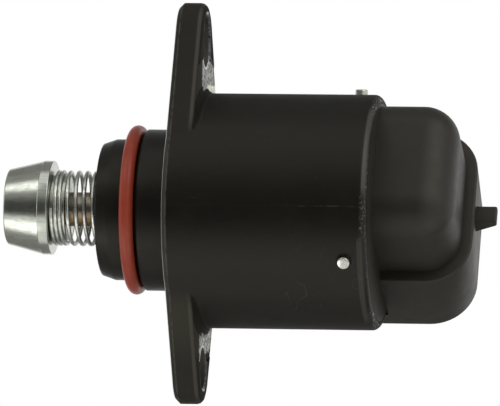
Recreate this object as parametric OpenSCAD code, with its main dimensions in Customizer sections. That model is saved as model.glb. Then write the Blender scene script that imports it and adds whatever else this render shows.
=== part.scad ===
/* [Flange] */
// Thickness of the mounting flange
flange_t = 3.5; // [2.8:0.1:4.6]
// Height of the slotted hole's centre above the valve axis
slot_z = 21.8; // [20.5:0.1:24]
// Depth of the round hole's centre below the valve axis
hole_z = 20.2; // [19.5:0.1:23]
// Radius of the round hole, and half the width of the slot
hole_r = 2.65; // [2.1:0.05:3.2]
// End to end length of the slot
slot_len = 6.8; // [6.5:0.1:8]
// Metal left around the slot's ear
slot_ear_wall = 2.15; // [1.6:0.05:2.6]
// Metal left around the round hole's ear
hole_ear_wall = 1.95; // [1.6:0.05:2.6]
// Bevel around the machined front face
face_bevel = 0.6; // [0.3:0.1:0.9]
// Rounding around the back of the ears
ear_round = 0.8; // [0.4:0.1:1.2]
// Radius of the fillet between the ears and the can
root_fillet = 1.1; // [0.6:0.1:1.5]
// Outer radius of the machined ring on the ears' backs
turned_r = 19.6; // [17.5:0.1:20.5]
// Depth of the machined ring on the ears' backs
turned_depth = 0.15; // [0.1:0.05:0.4]
// Bevel at the mouths of the fixing holes
hole_bevel = 0.3; // [0.2:0.05:0.7]

/* [Spigot] */
// Length of the spigot in front of the flange
spigot_len = 9.55; // [8.8:0.05:12]
// Radius of the spigot's nose, which carries the seal ring
nose_r = 9.04; // [8:0.02:9.4]
// Length of the lead-in bevel on the nose
lead_len = 1.6; // [0.8:0.1:2]
// Depth of the lead-in bevel on the nose
lead_drop = 0.55; // [0.3:0.05:0.9]
// Radius of the large collar that fits the throttle body's bore
collar_r = 10.34; // [10.1:0.02:11]
// Length of the large collar
collar_len = 3.87; // [3:0.01:4.5]
// Length of the cone between the nose and the collar
shoulder_len = 0.93; // [0.6:0.05:1.2]
// Radius of the spring pocket
pocket_r = 5.6; // [5.4:0.1:6.4]
// Depth of the spring pocket
pocket_depth = 6.65; // [6:0.05:7.4]
// Thickness of the wall between the spring pocket and the bearing
web_t = 4.2; // [3.6:0.1:5.5]

/* [Seal ring] */
// Thickness of the seal ring's cord
seal_cord = 1.8; // [1.5:0.1:2.1]

/* [Can] */
// Outer radius of the can
can_r = 15.05; // [14.8:0.1:16.5]
// Radius of the bore that holds the stator
bore_r = 13.4; // [13.2:0.05:13.6]
// Radius of the bore that receives the cap
register_r = 13.9; // [13.75:0.05:14.1]
// Depth to which the cap goes into the can
register_depth = 5.9; // [5.4:0.1:8]
// Rounding of the can's rolled rim
rim_round = 0.95; // [0.5:0.05:1.0]

/* [Pintle] */
// Length of the head in front of its rear face
head_len = 5.94; // [5:0.02:8]
// Radius of the head's widest land
head_r = 6.03; // [5.6:0.01:7.5]
// Radius of the head's front face
head_front_r = 4.9; // [4:0.05:5.4]
// Length of the widest land
land_len = 1.29; // [0.8:0.01:2]
// Rounding of the head's front edge
head_round = 0.4; // [0.1:0.05:0.6]
// Length of the hub that centres the spring
hub_len = 2.08; // [1.4:0.02:2.6]
// How far the head's rear face stands in front of the spigot at rest
head_reach = 6.62; // [6.2:0.02:7.5]
// Travel of the pintle from its stop to fully drawn in
pintle_travel = 4.75; // [3:0.25:4.75]

/* [Pintle spring] */
// Outer radius of the spring
spring_r = 4.865; // [4.7:0.005:5]
// Diameter of the spring's wire
wire_d = 0.54; // [0.4:0.02:0.56]
// Turns that lie closed at the head
closed_head = 2.1; // [1.5:0.1:3]
// Turns that lie closed in the pocket
closed_seat = 1.6; // [1:0.1:2.5]
// Open turns between the closed ones
open_turns = 8.9; // [7:0.1:9]

/* [Lead screw] */
// Radius of the plain front of the screw
shank_r = 2.2; // [2.1:0.05:2.4]
// Distance between the two flats that stop the screw turning
flats_w = 3.5; // [3:0.05:3.8]
// Outer radius of the threaded rear
thread_r = 2.0; // [1.8:0.05:2.05]
// Radius of the front stub that is pressed into the head
stub_r = 1.7; // [1.4:0.05:1.8]
// Length of the front stub
stub_len = 4.2; // [3:0.1:4.6]
// Length of the threaded rear
thread_len = 14.6; // [12.5:0.1:15]

/* [Guide bush] */
// Radius of the bush's body
bush_r = 3.8; // [3.4:0.05:4]
// Radius of the bush's collar, on which the spring rests
bush_collar_r = 5.3; // [5.1:0.05:5.35]
// Thickness of the bush's collar
bush_collar_t = 0.8; // [0.5:0.05:1.2]

/* [Bearing] */
// Outer radius of the ball bearing
bearing_r = 8.0; // [7.8:0.05:8.2]
// Radius of the ball bearing's bore
journal_r = 4.0; // [3.8:0.05:4.1]
// Width of the ball bearing
bearing_w = 4.0; // [3.6:0.1:5]
// Radius of the balls
ball_r = 1.2; // [1:0.05:1.25]
// Number of balls
ball_count = 7; // [5:1:9]
// Thickness of each race between its bore or rim and its shoulder
race_t = 1.2; // [1:0.05:1.25]
// Thickness of the clip that holds the bearing
clip_t = 0.6; // [0.4:0.05:0.8]

/* [Stator] */
// Length of each of the two coil sections
section_len = 6.9; // [6.4:0.1:8]
// Thickness of the steel sheet
sheet_t = 0.85; // [0.6:0.05:1]
// Number of claws on each pole ring
claw_count = 6; // [4:1:8]
// Radius of the circle inside the claws
claw_r = 7.6; // [7.5:0.05:7.9]
// Width of a claw at its root
claw_root_w = 3.5; // [2.8:0.1:3.7]
// Width of a claw at its tip
claw_tip_w = 2.1; // [1.4:0.1:2.4]
// Wall of the coil formers
bobbin_wall = 0.5; // [0.4:0.05:0.7]

/* [Rotor] */
// Running gap between the magnet and the claws
air_gap = 0.3; // [0.2:0.05:0.4]
// Radius of the moulded hub inside the magnet
rotor_hub_r = 4.6; // [4.4:0.05:5.2]
// Length of the internal thread in the rotor
nut_len = 5.0; // [4:0.1:6]
// Radius of the rotor's rear journal
tail_r = 3.2; // [3:0.05:3.4]
// Length of the rotor's rear journal
tail_len = 3.5; // [3:0.1:3.8]
// Wall of the rear plain bush
rear_bush_wall = 1.3; // [1:0.05:1.5]
// Thickness of the thrust washer
washer_t = 0.4; // [0.3:0.05:0.6]

/* [Connector] */
// Turn of the connector about the valve axis, away from the near side and down
cap_turn = 28; // [0:1:45]
// Height of the closed back's upper side, across the socket
back_top = 12.35; // [11:0.05:13]
// Height of the closed back's lower side, across the socket
back_bottom = -6.5; // [-8:0.1:-5.5]
// Reach of the closed back towards the near side
back_reach = 9.17; // [8:0.05:10.5]
// Length of the closed back behind the can
back_len = 10.1; // [9.5:0.1:11]
// Rounding of the closed back's edges
back_round = 4.6; // [2.5:0.1:5]
// Ledge between the closed back and the shroud
ledge = 1.5; // [1:0.1:2]
// Place of the ledge along the socket's direction
ledge_u = 3.6; // [3:0.1:4.2]
// Reach of the shroud's mouth along the socket's direction
mouth_u = 15.6; // [14:0.1:17]
// Length of the shroud behind the can at the ledge
shroud_len = 11.5; // [10.9:0.05:12.2]
// Taper of the shroud's rear wall towards the mouth
shroud_draft = 2.6; // [0:0.1:4]
// Rounding of the shroud's two rear corners
shroud_round = 5.8; // [3:0.1:6.2]
// Thickness of the shroud's walls
shroud_wall = 1.45; // [1.2:0.05:1.6]
// Depth of the socket
socket_depth = 10.0; // [8:0.1:10.5]
// Depth of the cap's floor below the can's rim
floor_drop = 1.5; // [0.8:0.1:1.7]
// How far the shroud hangs over the outside of the can
overhang = 1.8; // [0:0.1:2.4]
// Width of the lock tab
tab_w = 2.4; // [1.6:0.1:3.5]
// Height of the lock tab above the shroud's rear wall
tab_h = 2.6; // [1.4:0.1:3.2]
// Length of the lock tab along the socket's direction
tab_len = 3.0; // [2:0.1:4]
// Place of the lock tab's near end along the socket's direction
tab_u = 5.6; // [4.6:0.1:7]

/* [Terminals] */
// Distance between neighbouring terminals
terminal_pitch = 4.0; // [3.2:0.1:4.4]
// Width of a terminal blade
blade_w = 1.5; // [1:0.1:2]
// Thickness of a terminal blade
blade_t = 0.6; // [0.5:0.05:0.8]
// Length of a blade in the socket
blade_len = 6.8; // [5:0.1:7.5]
// Width of a blade's tapered tip
blade_tip_w = 0.2; // [0.1:0.05:0.4]
// Length of a blade's tapered tip
blade_tip_len = 0.8; // [0.4:0.1:1.2]

/* [Retaining pins] */
// Radius of a retaining pin
pin_r = 0.8; // [0.6:0.05:0.9]
// How far a pin stands proud of the can
pin_proud = 0.76; // [0.3:0.02:1]
// Length of a pin
pin_len = 4.2; // [3:0.1:4.4]
// Distance of the pins from the can's rim
pin_inset = 2.9; // [2:0.1:3]
// Turn of the first pin below the near side
pin_turn = 24.3; // [20:0.1:32]

/* [Clearances] */
// Gap of pieces that are pressed or moulded together
press_gap = 0.02; // [0.01:0.01:0.04]
// Radial gap of pieces that turn or slide in each other
run_gap = 0.05; // [0.03:0.01:0.08]
// Gap between faces that lie beside each other
side_gap = 0.05; // [0.03:0.01:0.1]
// Radial room that a passing piece has
pass_gap = 0.4; // [0.3:0.05:0.6]

/* [Hidden] */
$fn = 96;
// Facets around shapes that are hulls
hull_fn = 40;
// Overshoot of a cut past the face that it opens
cut = 0.5;
// Thickness of a slice that stands for an outline in a hull
slice = 0.05;
// How far the root fillet is sunk so that it joins its walls
fillet_bite = 0.03;

// Places along the valve axis; zero is the flange's front face
nose_x = -spigot_len;
pocket_x = nose_x + pocket_depth;
bearing_x = pocket_x + web_t;
clip_x = bearing_x + bearing_w;
clip_land = 0.6;
stator_x = clip_x + clip_t + clip_land;
middle_x = stator_x + section_len;
stator_end = middle_x + section_len;
can_end = stator_end + register_depth;
foot_t = 0.5;
plug_x = stator_end + foot_t;
pin_x = can_end - pin_inset;

// Places of the pintle and its screw at rest
head_rear = nose_x - head_reach;
head_front = head_rear - head_len;
hub_end = head_rear + hub_len;
land_edge = 0.08;
rear_edge = 0.15;
hub_bevel = 0.3;
// Growth of the head's radius along its cone
head_slope = (head_r - head_front_r) / (head_len - land_len);
hub_r = spring_r - wire_d - run_gap;
relief_depth = 0.4;
bush_clearance = 0.6;
bush_end = bearing_x - relief_depth - bush_clearance;
shank_lead = 0.3;
shank_end = bush_end + shank_lead;
// The flats reach in front of the bush even when the pintle is drawn in
flats_lead = 1.8;
flats_start = pocket_x - pintle_travel - flats_lead;
screw_end = shank_end + thread_len;
screw_tip = 0.5;

// Spring
spring_seat = pocket_x - bush_collar_t;
spring_len = spring_seat - head_rear - 2 * press_gap;
closed_gap = 0.015;
closed_pitch = wire_d + closed_gap;
open_pitch = (spring_len - wire_d - (closed_head + closed_seat) * closed_pitch) / open_turns;
spring_turns = closed_head + open_turns + closed_seat;
wire_sides = 8;
rings_per_turn = 20;

// Flange circles as height and radius
slot_ear_r = hole_r + slot_ear_wall;
hole_ear_r = hole_r + hole_ear_wall;
core_inset = 0.4;
core_r = can_r - core_inset;
flange_circles = [[slot_z, slot_ear_r], [0, core_r], [-hole_z, hole_ear_r]];

// Seal ring against the nose and the shoulder's cone
seal_r = seal_cord / 2;
seal_mid_r = nose_r + press_gap + seal_r;
shoulder_x = -collar_len - shoulder_len;
shoulder_angle = atan2(collar_r - nose_r, shoulder_len);
seal_x = shoulder_x - (seal_r + press_gap) * (1 - cos(shoulder_angle)) / sin(shoulder_angle);

// Bearing
ball_ring_r = (bearing_r + journal_r) / 2;
groove_r = ball_r + press_gap;
bearing_mid = bearing_x + bearing_w / 2;
cage_t = 0.8;
cage_rim = 0.3;
clip_groove = 0.45;
clip_out_r = bearing_r + clip_groove;
clip_in_r = bearing_r - race_t;
clip_opening = 3.2;

// Stator
cup_r = bore_r - press_gap;
claw_t = sheet_t;
claw_out_r = claw_r + claw_t;
claw_tip_gap = 0.6;
claw_len = section_len - 2 * sheet_t - claw_tip_gap;
section_shift = 90 / claw_count;
claw_pitch = 360 / claw_count;
bobbin_in = claw_out_r + press_gap;
bobbin_out = cup_r - sheet_t - press_gap;
window_wall = 0.8;
window_t = terminal_pitch * 3 + blade_w + 2 * window_wall;
window_u = 3.4;
winding_inset = 0.3;
bobbin_rim_inset = 0.3;
bobbin_rim = bobbin_out - bobbin_rim_inset;

// Rotor
magnet_r = claw_r - air_gap;
magnet_front_gap = 0.6;
magnet_rear_gap = 1.0;
magnet_x = stator_x + magnet_front_gap;
magnet_end = stator_end - magnet_rear_gap;
collar_x = clip_x;
nut_inset = 2.2;
nut_x = stator_x + nut_inset;
rotor_x = bearing_x + side_gap;
journal_bevel = 0.2;
tail_bevel = 0.3;
relief_r = shank_r + pass_gap;
tail_bore_r = thread_r + pass_gap;
tail_end = magnet_end + tail_len;
rear_bush_x = magnet_end + washer_t + 2 * side_gap;
rear_bush_in = tail_r + run_gap;
rear_bush_out = rear_bush_in + rear_bush_wall;
rear_bush_end = tail_end + side_gap;

// Cap and socket; u runs out of the socket, t across it
plug_r = register_r - press_gap;
floor_x = can_end - floor_drop;
rim_x = can_end + side_gap;
rim_clearance = 0.15;
seal2_cord = 0.8;
seal2_inset = 1.25;
seal2_x = stator_end + seal2_inset;
seal2_groove_w = 1.2;
seal2_mid_r = register_r - seal2_cord / 2 - press_gap;
back_x = can_end + back_len;
shroud_x = can_end + shroud_len;
// The socket's near wall stands this far behind the rim
socket_rise = 0.4;
socket_x = can_end + socket_rise + shroud_wall;
shroud_top = back_top + ledge;
shroud_bottom = back_bottom - ledge;
socket_mid_t = (shroud_top + shroud_bottom) / 2;
socket_u = mouth_u - socket_depth;
shroud_mouth_x = shroud_x - (mouth_u - ledge_u) * tan(shroud_draft);
tab_bevel = 0.3;

// Terminals: each is one bent strip, drawn as legs in the plane of x and u
blade_rise = 7.0;
blade_x = can_end + blade_rise;
blade_tip_u = socket_u + blade_len;
inner_leg_u = 2.8;
bend_drop = 1.2;
bend_x = can_end - bend_drop;
outer_leg_u = 8.4;
terminal_gap = 0.1;
terminal_x = stator_end + terminal_gap;

// Pins
pin_angles = [-pin_turn, 120 - pin_turn, 240 - pin_turn];
pin_bevel = 0.15;

// Rounded shapes and turned shapes

// Children drawn with radius to the right and the valve axis upwards are spun about the axis
module spun() rotate([0, 90, 0]) rotate_extrude() children();

// A round bar along the valve axis
module rod(x0, x1, r) translate([x0, 0, 0]) rotate([0, 90, 0]) cylinder(r = r, h = x1 - x0);

// A cone along the valve axis
module cone(x0, x1, r0, r1)
    translate([x0, 0, 0]) rotate([0, 90, 0]) cylinder(r1 = r0, r2 = r1, h = x1 - x0);

// A plain ring along the valve axis
module ring(x0, x1, r0, r1) spun() translate([r0, x0]) square([r1 - r0, x1 - x0]);

// A turned ring whose outer edges are bevelled
module bevelled_ring(x0, x1, r0, r1, bevel)
    spun() polygon([
        [r0, x0], [r1 - bevel, x0], [r1, x0 + bevel],
        [r1, x1 - bevel], [r1 - bevel, x1], [r0, x1]
    ]);

// What a round edge takes off a square corner; the corner is at a, b and points to side_a, side_b
module edge_round(a, b, r, side_a, side_b)
    difference() {
        translate([a + (side_a > 0 ? -r : -cut), b + (side_b > 0 ? -r : -cut)]) square(r + cut);
        translate([a - side_a * r, b - side_b * r]) circle(r = r);
    }

// The flange's outline as a slice, drawn in by inset
module flange_slice(x, inset)
    for (c = flange_circles)
        translate([x, 0, c[0]]) rotate([0, 90, 0]) cylinder(r = c[1] - inset, h = slice, $fn = hull_fn);

// The ears with their bevelled front and rounded back
module flange_ears()
    hull() {
        flange_slice(0, face_bevel);
        flange_slice(face_bevel, 0);
        for (a = [0:30:90])
            flange_slice(flange_t - ear_round * (1 - sin(a)) - slice, ear_round * (1 - cos(a)));
    }

// The fillet that runs from the ears' backs up the can; each step starts lower on the ears' rounding
module ear_root_fillet()
    for (a = [5, 35, 60, 90]) let (x = flange_t - ear_round * (1 - sin(a)))
        intersection() {
            spun() difference() {
                translate([can_r - cut, x - cut]) square(root_fillet + cut);
                translate([can_r + root_fillet - fillet_bite, x + root_fillet - fillet_bite])
                    circle(r = root_fillet);
            }
            hull() {
                flange_slice(x - 2 * cut, ear_round * (1 - cos(a)));
                flange_slice(x + root_fillet + cut, ear_round * (1 - cos(a)));
            }
        }

module housing_turning()
    spun() difference() {
        polygon([
            [0, nose_x], [nose_r - lead_drop, nose_x], [nose_r, nose_x + lead_len],
            [nose_r, shoulder_x], [collar_r, -collar_len], [collar_r, 0],
            [can_r - face_bevel, 0], [can_r, face_bevel], [can_r, can_end], [0, can_end]
        ]);
        edge_round(can_r, can_end, rim_round, 1, 1);
    }

// A hole with two round ends
module slot_cut(x0, x1, r, length)
    translate([x0, 0, 0]) rotate([0, 90, 0]) linear_extrude(x1 - x0) {
        for (side = [-1, 1]) translate([side * (length / 2 - r), 0]) circle(r = r);
        square([length - 2 * r, 2 * r], center = true);
    }

module slot_bevel()
    hull()
        for (side = [-1, 1])
            translate([0, 0, side * (slot_len / 2 - hole_r)])
                translate([flange_t - hole_bevel, 0, 0]) rotate([0, 90, 0])
                    cylinder(
                        r1 = hole_r, r2 = hole_r + hole_bevel + slice, h = hole_bevel + slice, $fn = hull_fn
                    );

module at_pin(angle) rotate([-angle, 0, 0]) translate([pin_x, 0, 0]) rotate([90, 0, 0]) children();

module housing() color([0.16, 0.15, 0.14]) difference() {
    union() {
        housing_turning();
        flange_ears();
        ear_root_fillet();
    }
    // Machined ring on the ears' backs, and the fixing holes
    ring(flange_t - turned_depth, flange_t + 0.02, can_r + root_fillet, turned_r);
    translate([0, 0, slot_z]) slot_cut(-cut, flange_t + cut, hole_r, slot_len);
    translate([0, 0, slot_z]) slot_bevel();
    translate([0, 0, -hole_z]) rod(-cut, flange_t + cut, hole_r);
    translate([0, 0, -hole_z])
        cone(flange_t - hole_bevel, flange_t + cut, hole_r, hole_r + hole_bevel + cut);
    // Spring pocket with its bevelled mouth, and the hole for the guide bush
    rod(nose_x - cut, pocket_x, pocket_r);
    cone(nose_x - cut, nose_x + cut, pocket_r + 2 * cut, pocket_r);
    rod(pocket_x - cut, bearing_x + cut, bush_r + press_gap);
    // Bearing seat with its relief and the clip's groove
    rod(bearing_x - relief_depth, bearing_x + cut, bearing_r - race_t);
    rod(bearing_x, stator_x + cut, bearing_r + press_gap);
    rod(clip_x, clip_x + clip_t + side_gap, clip_out_r + press_gap);
    // Stator bore, and the wider bore that receives the cap
    rod(stator_x, stator_end + cut, bore_r);
    rod(stator_end, can_end + cut, register_r);
    for (a = pin_angles) at_pin(a) cylinder(r = pin_r + press_gap, h = can_r + cut);
}

module seal_ring() color([0.55, 0.22, 0.16])
    spun() translate([seal_mid_r, seal_x]) circle(r = seal_r);

// Pintle, which closes the air passage
module pintle() color([0.72, 0.72, 0.70])
    spun() difference() {
        polygon([
            [0, head_front], [head_front_r, head_front], [head_r - land_edge, head_rear - land_len],
            [head_r, head_rear - land_len + land_edge], [head_r, head_rear - rear_edge],
            [head_r - rear_edge, head_rear], [hub_r, head_rear],
            [hub_r, hub_end - hub_bevel], [hub_r - hub_bevel, hub_end],
            [stub_r + press_gap, hub_end], [stub_r + press_gap, hub_end - stub_len - side_gap],
            [0, hub_end - stub_len - side_gap]
        ]);
        // The front edge is broken by a flat bevel
        polygon([
            [head_front_r - head_round, head_front - slice], [head_r, head_front - slice],
            [head_r, head_front + head_round],
            [head_front_r + head_round * head_slope, head_front + head_round],
            [head_front_r - head_round, head_front]
        ]);
    }

// Turns wound so far and the place along the spring, for a point at share s of the wire
function wound(s) = s * spring_turns;
function along(n) =
    n < closed_head ? n * closed_pitch
    : n < closed_head + open_turns ? closed_head * closed_pitch + (n - closed_head) * open_pitch
    : closed_head * closed_pitch + open_turns * open_pitch + (n - closed_head - open_turns) * closed_pitch;

// Eight-sided wire swept along the spring's path
module pintle_spring() color([0.62, 0.62, 0.60]) {
    rings = ceil(spring_turns * rings_per_turn);
    coil_r = spring_r - wire_d / 2;
    points = [
        for (i = [0:rings])
            let (
                n = wound(i / rings),
                x = head_rear + press_gap + wire_d / 2 + along(n),
                turn = 180 + 360 * n
            )
            for (j = [0:wire_sides - 1])
                let (
                    a = 360 * j / wire_sides,
                    r = coil_r + wire_d / 2 * cos(a)
                )
                [x + wire_d / 2 * sin(a), r * cos(turn), r * sin(turn)]
    ];
    skin = [
        for (i = [0:rings - 1]) for (j = [0:wire_sides - 1])
            let (k = (j + 1) % wire_sides)
            [i * wire_sides + j, i * wire_sides + k, (i + 1) * wire_sides + k, (i + 1) * wire_sides + j]
    ];
    near_end = [for (j = [wire_sides - 1:-1:0]) j];
    far_end = [for (j = [0:wire_sides - 1]) rings * wire_sides + j];
    polyhedron(points = points, faces = concat(skin, [near_end, far_end]));
}

// Lead screw: stub in the head, plain shank with two flats, threaded rear
module lead_screw() color([0.52, 0.43, 0.33]) difference() {
    union() {
        rod(hub_end - stub_len, hub_end + cut, stub_r);
        rod(hub_end, shank_end, shank_r);
        rod(shank_end - cut, screw_end - screw_tip, thread_r);
        cone(screw_end - screw_tip, screw_end, thread_r, thread_r - screw_tip);
    }
    for (side = [-1, 1])
        translate([flats_start, side > 0 ? flats_w / 2 : -flats_w / 2 - shank_r, -shank_r - cut])
            cube([shank_end - flats_start, shank_r, 2 * (shank_r + cut)]);
}

// Guide bush, whose flat-sided hole lets the screw slide and keeps it from turning
module guide_bush() color([0.70, 0.58, 0.34]) difference() {
    union() {
        bevelled_ring(spring_seat, pocket_x, 0, bush_collar_r, 0.15);
        rod(pocket_x - cut, bush_end, bush_r);
    }
    intersection() {
        rod(spring_seat - cut, bearing_x, shank_r + run_gap);
        translate([spring_seat - cut, -flats_w / 2 - run_gap, -2 * shank_r])
            cube([bush_end - spring_seat + 2 * cut, flats_w + 2 * run_gap, 4 * shank_r]);
    }
}

// Ball bearing
module ball_groove() translate([ball_ring_r, bearing_mid]) circle(r = groove_r);

module bearing_outer_race() color([0.75, 0.76, 0.77])
    spun() difference() {
        translate([bearing_r - race_t, bearing_x]) square([race_t, bearing_w]);
        ball_groove();
    }

module bearing_inner_race() color([0.75, 0.76, 0.77])
    spun() difference() {
        translate([journal_r, bearing_x + side_gap]) square([race_t, bearing_w - side_gap]);
        ball_groove();
    }

module balls(r)
    for (i = [0:ball_count - 1])
        rotate([360 * i / ball_count, 0, 0]) translate([bearing_mid, 0, ball_ring_r]) sphere(r = r);

module bearing_balls() color([0.80, 0.81, 0.82]) balls(ball_r);

module bearing_cage() color([0.66, 0.54, 0.30]) difference() {
    ring(
        bearing_mid - ball_r - cage_rim, bearing_mid + ball_r + cage_rim,
        ball_ring_r - cage_t / 2, ball_ring_r + cage_t / 2
    );
    balls(ball_r + run_gap);
}

// Open spring ring in its groove behind the bearing
module bearing_clip() color([0.35, 0.35, 0.36]) difference() {
    ring(clip_x + press_gap, clip_x + clip_t, clip_in_r, clip_out_r);
    translate([clip_x - cut, -clip_opening / 2, 0])
        cube([clip_t + 2 * cut, clip_opening, clip_out_r + cut]);
}

// One ring of tapered claws that point along +x from x0, made from sheet bent at the inner edge of a plate
module claws(x0, turn)
    intersection() {
        ring(x0, x0 + claw_len, claw_r, claw_out_r);
        for (i = [0:claw_count - 1])
            rotate([turn + i * claw_pitch, 0, 0]) linear_extrude(claw_out_r + cut) polygon([
                [x0 - cut, -claw_root_w / 2], [x0, -claw_root_w / 2],
                [x0 + claw_len + cut, -claw_tip_w / 2], [x0 + claw_len + cut, claw_tip_w / 2],
                [x0, claw_root_w / 2], [x0 - cut, claw_root_w / 2]
            ]);
    }

// Pressed steel cup: end plate, outer wall and claws, drawn with its closed end at zero
module cup(turn) {
    ring(0, sheet_t, claw_r, cup_r);
    ring(0, section_len - press_gap, cup_r - sheet_t, cup_r);
    claws(sheet_t - 0.1, turn);
}

// Pressed steel plate with claws, drawn with its flat face at zero
module pole_plate(turn) {
    ring(press_gap, sheet_t, claw_r, bobbin_out);
    claws(sheet_t - 0.1, turn);
}

// Moulded coil former between the plates of one section
module bobbin(x0) {
    x1 = x0 + section_len - 2 * sheet_t - 2 * side_gap;
    spun() polygon([
        [bobbin_in, x0], [bobbin_rim, x0], [bobbin_rim, x0 + bobbin_wall],
        [bobbin_in + bobbin_wall, x0 + bobbin_wall], [bobbin_in + bobbin_wall, x1 - bobbin_wall],
        [bobbin_rim, x1 - bobbin_wall], [bobbin_rim, x1], [bobbin_in, x1]
    ]);
}

// Copper wound on a former
module winding(x0) {
    x1 = x0 + section_len - 2 * sheet_t - 2 * side_gap;
    bevelled_ring(
        x0 + bobbin_wall + press_gap, x1 - bobbin_wall - press_gap,
        bobbin_in + bobbin_wall + press_gap, bobbin_rim - winding_inset, winding_inset
    );
}

module mirrored_at(x) translate([x, 0, 0]) mirror([1, 0, 0]) children();

module front_cup() color([0.62, 0.63, 0.62]) translate([stator_x, 0, 0]) cup(0);
module front_pole_plate() color([0.62, 0.63, 0.62]) mirrored_at(middle_x) pole_plate(claw_pitch / 2);
module front_bobbin() color([0.85, 0.80, 0.66]) bobbin(stator_x + sheet_t + side_gap);
module front_winding() color([0.72, 0.38, 0.20]) winding(stator_x + sheet_t + side_gap);
module rear_pole_plate() color([0.62, 0.63, 0.62])
    translate([middle_x, 0, 0]) pole_plate(section_shift + claw_pitch / 2);
module rear_winding() color([0.72, 0.38, 0.20]) winding(middle_x + sheet_t + side_gap);

// The former of the rear section carries the block that meets the terminals, through a window in the cup
module terminal_block(x0, x1, gap)
    rotate([-cap_turn, 0, 0])
        translate([x0, outer_leg_u - window_u / 2 - gap, socket_mid_t - window_t / 2 - gap])
            cube([x1 - x0, window_u + 2 * gap, window_t + 2 * gap]);

module rear_bobbin() color([0.85, 0.80, 0.66]) {
    bobbin(middle_x + sheet_t + side_gap);
    intersection() {
        terminal_block(stator_end - sheet_t - side_gap - bobbin_wall, terminal_x, 0);
        ring(middle_x, can_end, bobbin_in, bobbin_rim);
    }
}

module rear_cup() color([0.62, 0.63, 0.62]) difference() {
    mirrored_at(stator_end) cup(section_shift);
    intersection() {
        terminal_block(stator_end - sheet_t - cut, stator_end + cut, run_gap);
        ring(middle_x, can_end, bobbin_in - 0.02, bobbin_out + 0.02);
    }
}

// Rotor: moulded hub with journals and an internal thread, inside a ring magnet
module rotor_nut() color([0.28, 0.26, 0.25])
    spun() polygon([
        [relief_r, rotor_x], [journal_r - press_gap - journal_bevel, rotor_x],
        [journal_r - press_gap, rotor_x + journal_bevel], [journal_r - press_gap, collar_x + press_gap],
        [rotor_hub_r, collar_x + press_gap], [rotor_hub_r, magnet_end], [tail_r, magnet_end],
        [tail_r, tail_end - tail_bevel], [tail_r - tail_bevel, tail_end], [tail_bore_r, tail_end],
        [tail_bore_r, nut_x + nut_len], [thread_r + run_gap, nut_x + nut_len],
        [thread_r + run_gap, nut_x], [relief_r, nut_x]
    ]);

module rotor_magnet() color([0.25, 0.25, 0.27])
    bevelled_ring(magnet_x, magnet_end, rotor_hub_r + press_gap, magnet_r, 0.4);

module thrust_washer() color([0.82, 0.80, 0.72])
    ring(magnet_end + side_gap, magnet_end + side_gap + washer_t, tail_r + run_gap, rear_bush_out + 0.6);

module rear_bush() color([0.70, 0.58, 0.34])
    ring(rear_bush_x, rear_bush_end, rear_bush_in, rear_bush_out);

// Connector cap

// Shapes drawn with u along +y and t along +z are turned with the socket
module socket_frame() rotate([-cap_turn, 0, 0]) children();

// A plate with x to the right and t upwards, whose far corners are round, extruded from u0 to u1
module slab_along_u(u0, u1, x0, x1, t0, t1, r)
    translate([0, u1, 0]) rotate([90, 0, 0]) linear_extrude(u1 - u0) difference() {
        translate([x0, t0]) square([x1 - x0, t1 - t0]);
        edge_round(x1, t1, r, 1, 1);
        edge_round(x1, t0, r, 1, -1);
    }

module closed_back()
    intersection() {
        slab_along_u(-back_reach, ledge_u + cut, floor_x - cut, back_x, back_bottom, back_top, back_round);
        // Seen along the valve axis: the two near edges are round
        translate([floor_x - 2 * cut, 0, 0]) rotate([90, 0, 90])
        linear_extrude(floor_drop + back_len + 3 * cut) difference() {
            translate([-back_reach, back_bottom])
                square([back_reach + ledge_u + 2 * cut, back_top - back_bottom]);
            edge_round(-back_reach, back_top, back_round, -1, 1);
            edge_round(-back_reach, back_bottom, back_round, -1, -1);
        }
        // Seen across the socket: the near edge of the end face is round
        translate([0, 0, back_bottom - cut]) linear_extrude(back_top - back_bottom + 2 * cut) difference() {
            translate([floor_x - 2 * cut, -back_reach])
                square([back_x - floor_x + 2 * cut, back_reach + ledge_u + 3 * cut]);
            edge_round(back_x, -back_reach, back_round, 1, -1);
        }
    }

module shroud() {
    low_x = can_end - overhang;
    intersection() {
        slab_along_u(ledge_u, mouth_u, low_x, shroud_x, shroud_bottom, shroud_top, shroud_round);
        // Taper of the rear wall towards the mouth
        translate([0, 0, shroud_bottom - cut]) linear_extrude(shroud_top - shroud_bottom + 2 * cut)
            polygon([
                [low_x - cut, ledge_u - cut], [shroud_x + cut * tan(shroud_draft), ledge_u - cut],
                [shroud_mouth_x - cut * tan(shroud_draft), mouth_u + cut], [low_x - cut, mouth_u + cut]
            ]);
    }
}

// Ramp that the mating plug's latch snaps over
module lock_tab()
    translate([0, 0, socket_mid_t - tab_w / 2]) linear_extrude(tab_w) polygon([
        [shroud_x - shroud_wall / 2, tab_u], [shroud_x + tab_h - tab_bevel, tab_u],
        [shroud_x + tab_h, tab_u + tab_bevel],
        [shroud_x + tab_h, tab_u + tab_len / 3], [shroud_x - shroud_wall / 2, tab_u + tab_len]
    ]);

module socket_cavity()
    slab_along_u(
        socket_u, mouth_u + cut, socket_x, shroud_mouth_x - shroud_wall,
        shroud_bottom + shroud_wall, shroud_top - shroud_wall, shroud_round - shroud_wall
    );

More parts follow.
